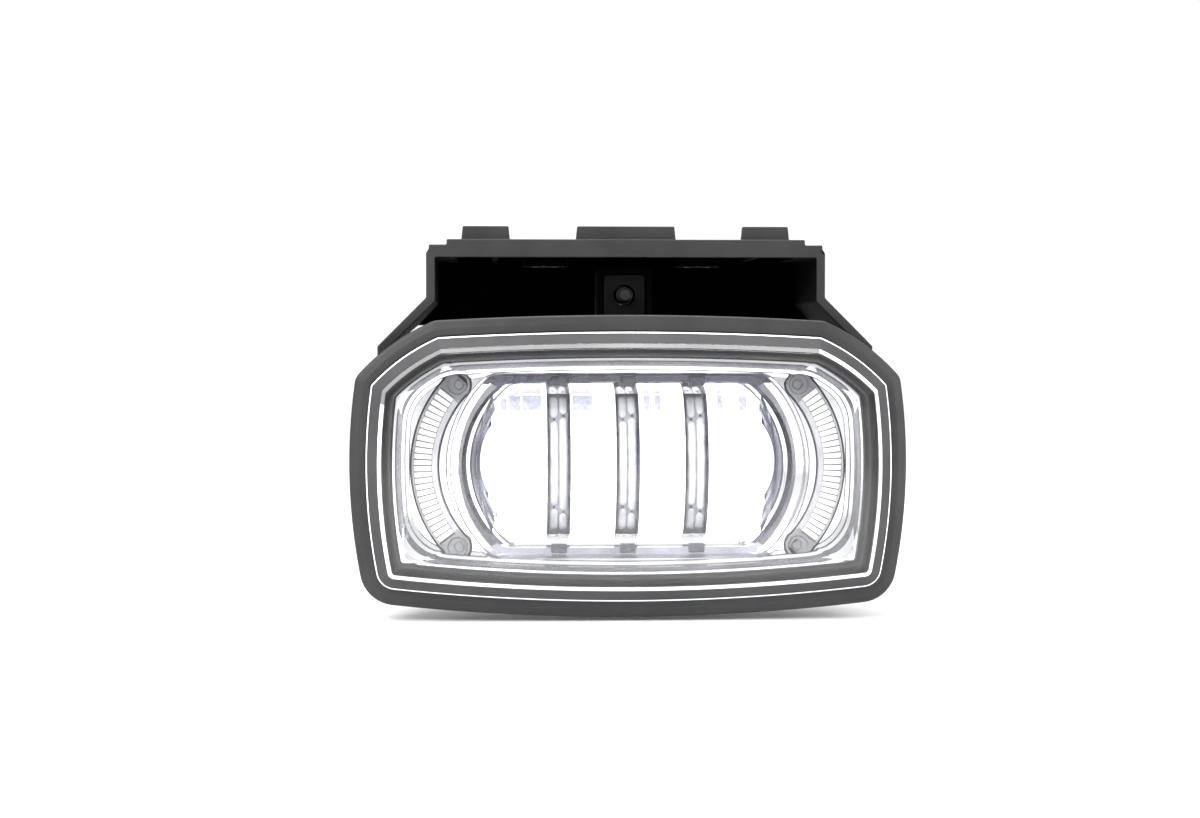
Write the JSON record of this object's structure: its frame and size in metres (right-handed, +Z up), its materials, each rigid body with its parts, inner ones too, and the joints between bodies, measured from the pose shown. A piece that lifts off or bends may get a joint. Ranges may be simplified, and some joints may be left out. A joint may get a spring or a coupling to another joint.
{
  "type": "fog light",
  "caption": "Rectangular LED fog lamp with cut upper corners, clear stepped lens, curved side running lights, and a hood bracket it tilts in on an aiming screw.",
  "frame": {"origin": "middle of the hood bracket's flat top face, which lies against the underside of the bumper", "axes": "+Z up out of the bracket's top face, +X to the right across the lamp as seen from in front, light leaves along -Y"},
  "size_m": [0.2002, 0.1028, 0.1413],
  "materials": {
    "bracket_plastic": "black moulded plastic with a fine grain",
    "housing_plastic": "charcoal satin plastic",
    "lens_clear": "clear hard-coated polycarbonate",
    "optic_clear": "clear acrylic, lit",
    "bezel_chrome": "vacuum-metallised mirror finish on plastic",
    "drl_guide": "ribbed clear light guide",
    "drl_tray": "mid-grey satin plastic",
    "led_board": "white solder mask on an aluminium-core board",
    "driver_board": "green solder mask",
    "led_emitter": "phosphor dome on a ceramic base",
    "thermal_pad": "soft grey silicone pad",
    "cast_aluminium": "die-cast, fine-grained",
    "plated_steel": "zinc-plated",
    "rubber": "soft black seal",
    "nylon": "natural nylon",
    "brass": "tinned brass pin",
    "vent_membrane": "expanded membrane",
    "lead_sheath": "thin insulated wire"
  },
  "bodies": {
    "bracket": {"mounting_bracket": "bracket_plastic", "mount_sleeve_left": "plated_steel", "mount_sleeve_right": "plated_steel", "pivot_bush_left": "nylon", "pivot_bush_right": "nylon", "adjuster_washer": "plated_steel"},
    "adjuster": {"adjuster_screw": "plated_steel", "adjuster_knob": "bracket_plastic"},
    "lamp": {"rear_housing": "housing_plastic", "outer_lens": "lens_clear", "lens_seal": "rubber", "reflector_bezel": "bezel_chrome", "main_optic": "optic_clear", "main_led_board": "led_board", "thermal_pad": "thermal_pad", "heat_sink": "cast_aluminium", "heat_sink_gasket": "rubber", "driver_board": "driver_board", "connector_socket": "bracket_plastic", "connector_gasket": "rubber", "vent_cap": "bracket_plastic", "vent_membrane": "vent_membrane", "adjuster_nut": "nylon", "main_lead": "lead_sheath", "drl_lead_left": "lead_sheath", "drl_lead_right": "lead_sheath", "drl_tray_left": "drl_tray", "drl_tray_right": "drl_tray", "drl_guide_left": "drl_guide", "drl_guide_right": "drl_guide", "drl_board_left": "driver_board", "drl_board_right": "driver_board", "pivot_screw_left": "plated_steel", "pivot_screw_right": "plated_steel", "main_led_1": "led_emitter", "main_led_2": "led_emitter", "main_led_3": "led_emitter", "main_led_4": "led_emitter", "terminal_1": "brass", "terminal_2": "brass", "terminal_3": "brass", "terminal_4": "brass", "board_screw_1": "plated_steel", "board_screw_2": "plated_steel", "board_screw_3": "plated_steel", "board_screw_4": "plated_steel", "heat_sink_screw_1": "plated_steel", "heat_sink_screw_2": "plated_steel", "heat_sink_screw_3": "plated_steel", "heat_sink_screw_4": "plated_steel", "driver_screw_1": "plated_steel", "driver_screw_2": "plated_steel", "drl_screw_left_1": "plated_steel", "drl_screw_left_2": "plated_steel", "drl_screw_right_1": "plated_steel", "drl_screw_right_2": "plated_steel"}
  },
  "joints": [
    {"name": "lamp_tilt", "type": "hinge", "parent": "bracket", "child": "lamp", "pos_m": [0, -0.0095, -0.0821], "axis": [1, 0, 0], "range_deg": [-4, 4]},
    {"name": "adjuster_turn", "type": "hinge", "parent": "bracket", "child": "adjuster", "pos_m": [0, 0.03, -0.0201], "axis": [0, 1, 0], "range_deg": [-624, 624]}
  ],
  "couplings": [
    {"joint": "adjuster_turn", "follows": "lamp_tilt", "ratio": 155.82}
  ]
}
